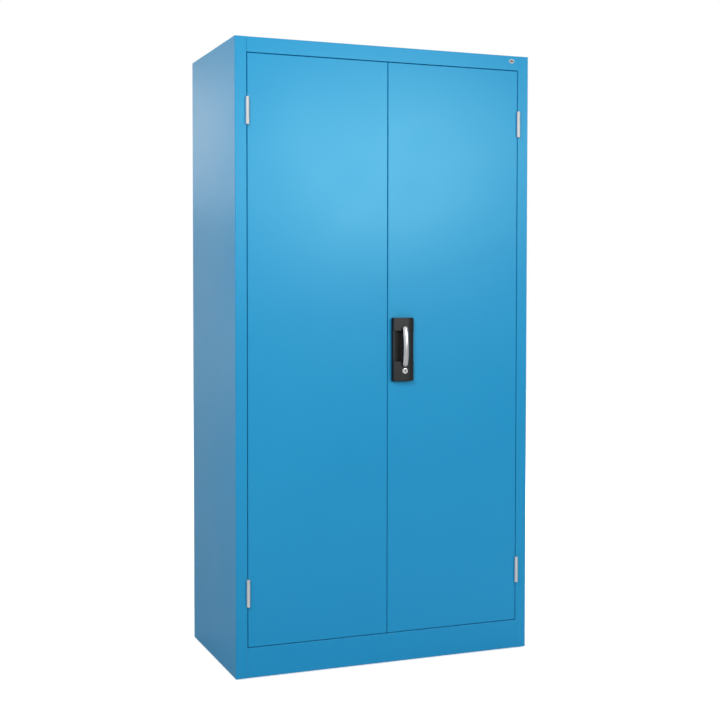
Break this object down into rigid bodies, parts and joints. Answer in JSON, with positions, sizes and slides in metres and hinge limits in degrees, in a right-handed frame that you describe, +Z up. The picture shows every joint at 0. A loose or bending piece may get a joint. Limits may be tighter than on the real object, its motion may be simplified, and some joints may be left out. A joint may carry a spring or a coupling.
{
  "type": "tool cabinet with doors",
  "caption": "Tall sheet-steel tool cabinet with hinged double doors, bow grip in a black tray, key-worked three-point rod lock and adjustable shelves.",
  "frame": {"origin": "on the floor, at the middle of the closed cabinet's bounding box (the grip counts in its depth)", "axes": "+X to the right seen from the front, +Y from the doors to the back, +Z up"},
  "size_m": [1, 0.5364, 1.95],
  "materials": {
    "blue_paint": "fine satin powder coat",
    "galvanised_sheet": "galvanised",
    "hinge_zinc": "bright zinc plated",
    "plated_steel": "zinc plated",
    "black_plastic": "fine grained",
    "guide_plastic": "plain moulded",
    "buffer_rubber": "matt",
    "satin_metal": "satin",
    "bright_chrome": "bright"
  },
  "bodies": {
    "carcass": {"left_side_panel": "blue_paint", "right_side_panel": "blue_paint", "top_panel": "blue_paint", "floor_panel": "blue_paint", "plinth_rail": "blue_paint", "back_panel": "blue_paint", "roof_stiffener": "blue_paint", "foot_plates": "blue_paint", "foot_pads": "blue_paint", "left_front_upright": "blue_paint", "left_rear_upright": "blue_paint", "right_front_upright": "blue_paint", "right_rear_upright": "blue_paint", "shelf_1": "galvanised_sheet", "shelf_2": "galvanised_sheet", "shelf_3": "galvanised_sheet", "shelf_4": "galvanised_sheet", "shelf_clips": "galvanised_sheet", "door_buffers": "buffer_rubber", "top_keeper": "plated_steel", "bottom_keeper": "plated_steel", "badge_plate": "satin_metal", "left_lower_frame_knuckle": "hinge_zinc", "left_upper_frame_knuckle": "hinge_zinc", "right_lower_frame_knuckle": "hinge_zinc", "right_upper_frame_knuckle": "hinge_zinc", "hinge_pins": "plated_steel", "hinge_washers": "hinge_zinc"},
    "left_door": {"left_door_skin": "blue_paint", "left_door_stiffener": "blue_paint", "centre_keeper": "plated_steel", "left_lower_door_knuckle": "hinge_zinc", "left_upper_door_knuckle": "hinge_zinc"},
    "right_door": {"right_door_skin": "blue_paint", "right_door_stiffener": "blue_paint", "right_lower_door_knuckle": "hinge_zinc", "right_upper_door_knuckle": "hinge_zinc", "handle_tray": "black_plastic", "bow_grip": "satin_metal", "bow_screws": "plated_steel", "tray_screws": "plated_steel", "lock_housing": "bright_chrome", "lock_nut": "plated_steel", "lock_case": "plated_steel", "lock_cover": "plated_steel", "lock_screws": "plated_steel", "rod_guides": "guide_plastic"},
    "key_barrel": {"key_plug": "bright_chrome", "pinion": "plated_steel", "plug_clip": "plated_steel"},
    "upper_rod": {"upper_rod": "plated_steel"},
    "lower_rod": {"lower_rod": "plated_steel"},
    "centre_bolt": {"centre_bolt": "plated_steel"}
  },
  "joints": [
    {"name": "left_door_hinge", "type": "hinge", "parent": "carcass", "child": "left_door", "pos_m": [-0.462, -0.2373, 1], "axis": [0, 0, -1], "range_deg": [0, 180]},
    {"name": "right_door_hinge", "type": "hinge", "parent": "carcass", "child": "right_door", "pos_m": [0.462, -0.2373, 1], "axis": [0, 0, 1], "range_deg": [0, 180]},
    {"name": "key_turn", "type": "hinge", "parent": "right_door", "child": "key_barrel", "pos_m": [0.0525, -0.23175, 0.933], "axis": [0, 1, 0], "range_deg": [0, 180]},
    {"name": "upper_rod_slide", "type": "slide", "parent": "right_door", "child": "upper_rod", "axis": [0, 0, 1], "range_m": [0, 0.02199]},
    {"name": "lower_rod_slide", "type": "slide", "parent": "right_door", "child": "lower_rod", "axis": [0, 0, -1], "range_m": [0, 0.02199]},
    {"name": "centre_bolt_slide", "type": "slide", "parent": "right_door", "child": "centre_bolt", "axis": [-1, 0, 0], "range_m": [0, 0.02199]}
  ],
  "couplings": [
    {"joint": "key_turn", "follows": "upper_rod_slide", "rad_per_m": 142.86},
    {"joint": "lower_rod_slide", "follows": "upper_rod_slide", "ratio": 1},
    {"joint": "centre_bolt_slide", "follows": "upper_rod_slide", "ratio": 1}
  ]
}
